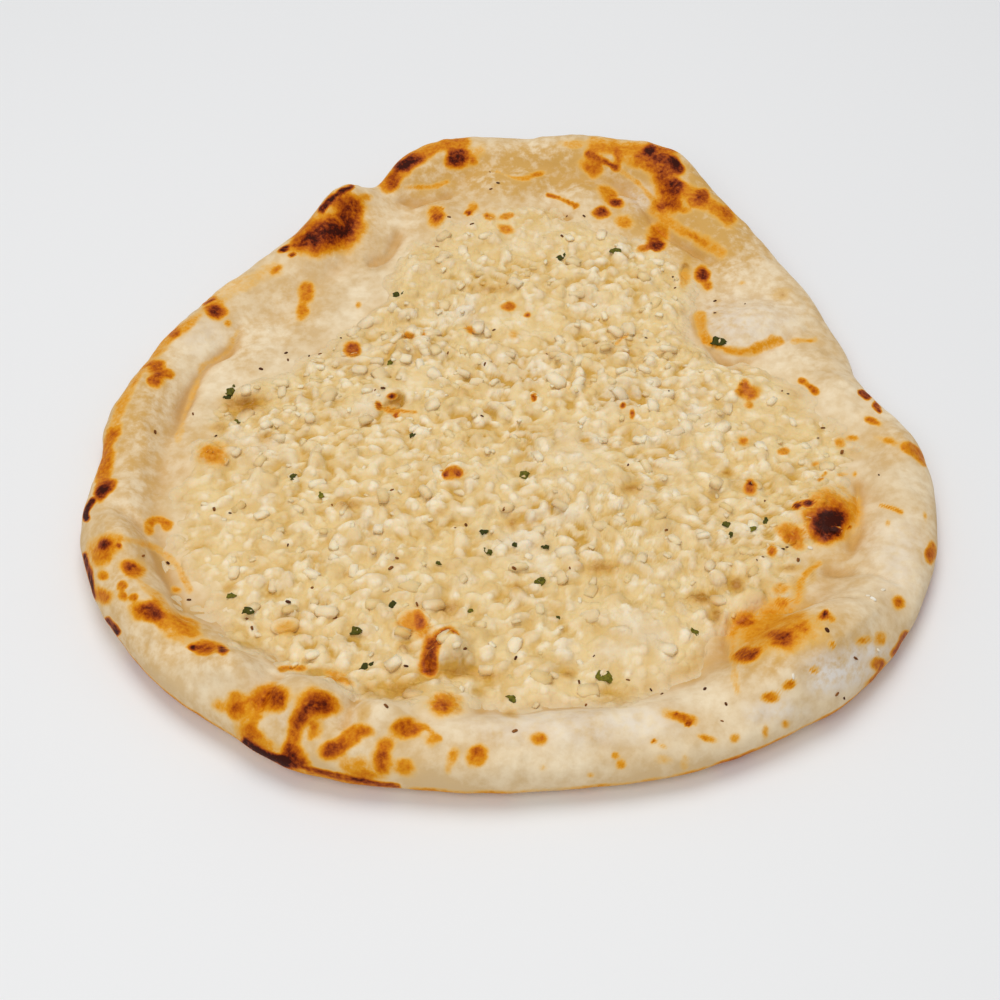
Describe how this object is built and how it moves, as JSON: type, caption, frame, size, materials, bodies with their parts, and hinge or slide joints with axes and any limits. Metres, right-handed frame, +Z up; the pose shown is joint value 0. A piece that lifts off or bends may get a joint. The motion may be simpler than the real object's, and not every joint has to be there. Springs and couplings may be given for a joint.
{
  "type": "garlic naan",
  "caption": "Broad leaf-shaped flatbread with a puffy rolled rim, minced garlic and herb flakes baked on its middle, and a back edge that bows up.",
  "frame": {"origin": "middle of the underside's box, on the surface that the bread lies on", "axes": "+Z up, +Y towards the raised back edge along the bread's length, +X to the right of someone at the front edge"},
  "size_m": [0.2441, 0.2752, 0.0233],
  "materials": {
    "baked_bread": "pale baked dough, browned and charred in spots, lightly buttered"
  },
  "bodies": {
    "root": {"garlic_naan": "baked_bread"}
  },
  "joints": []
}
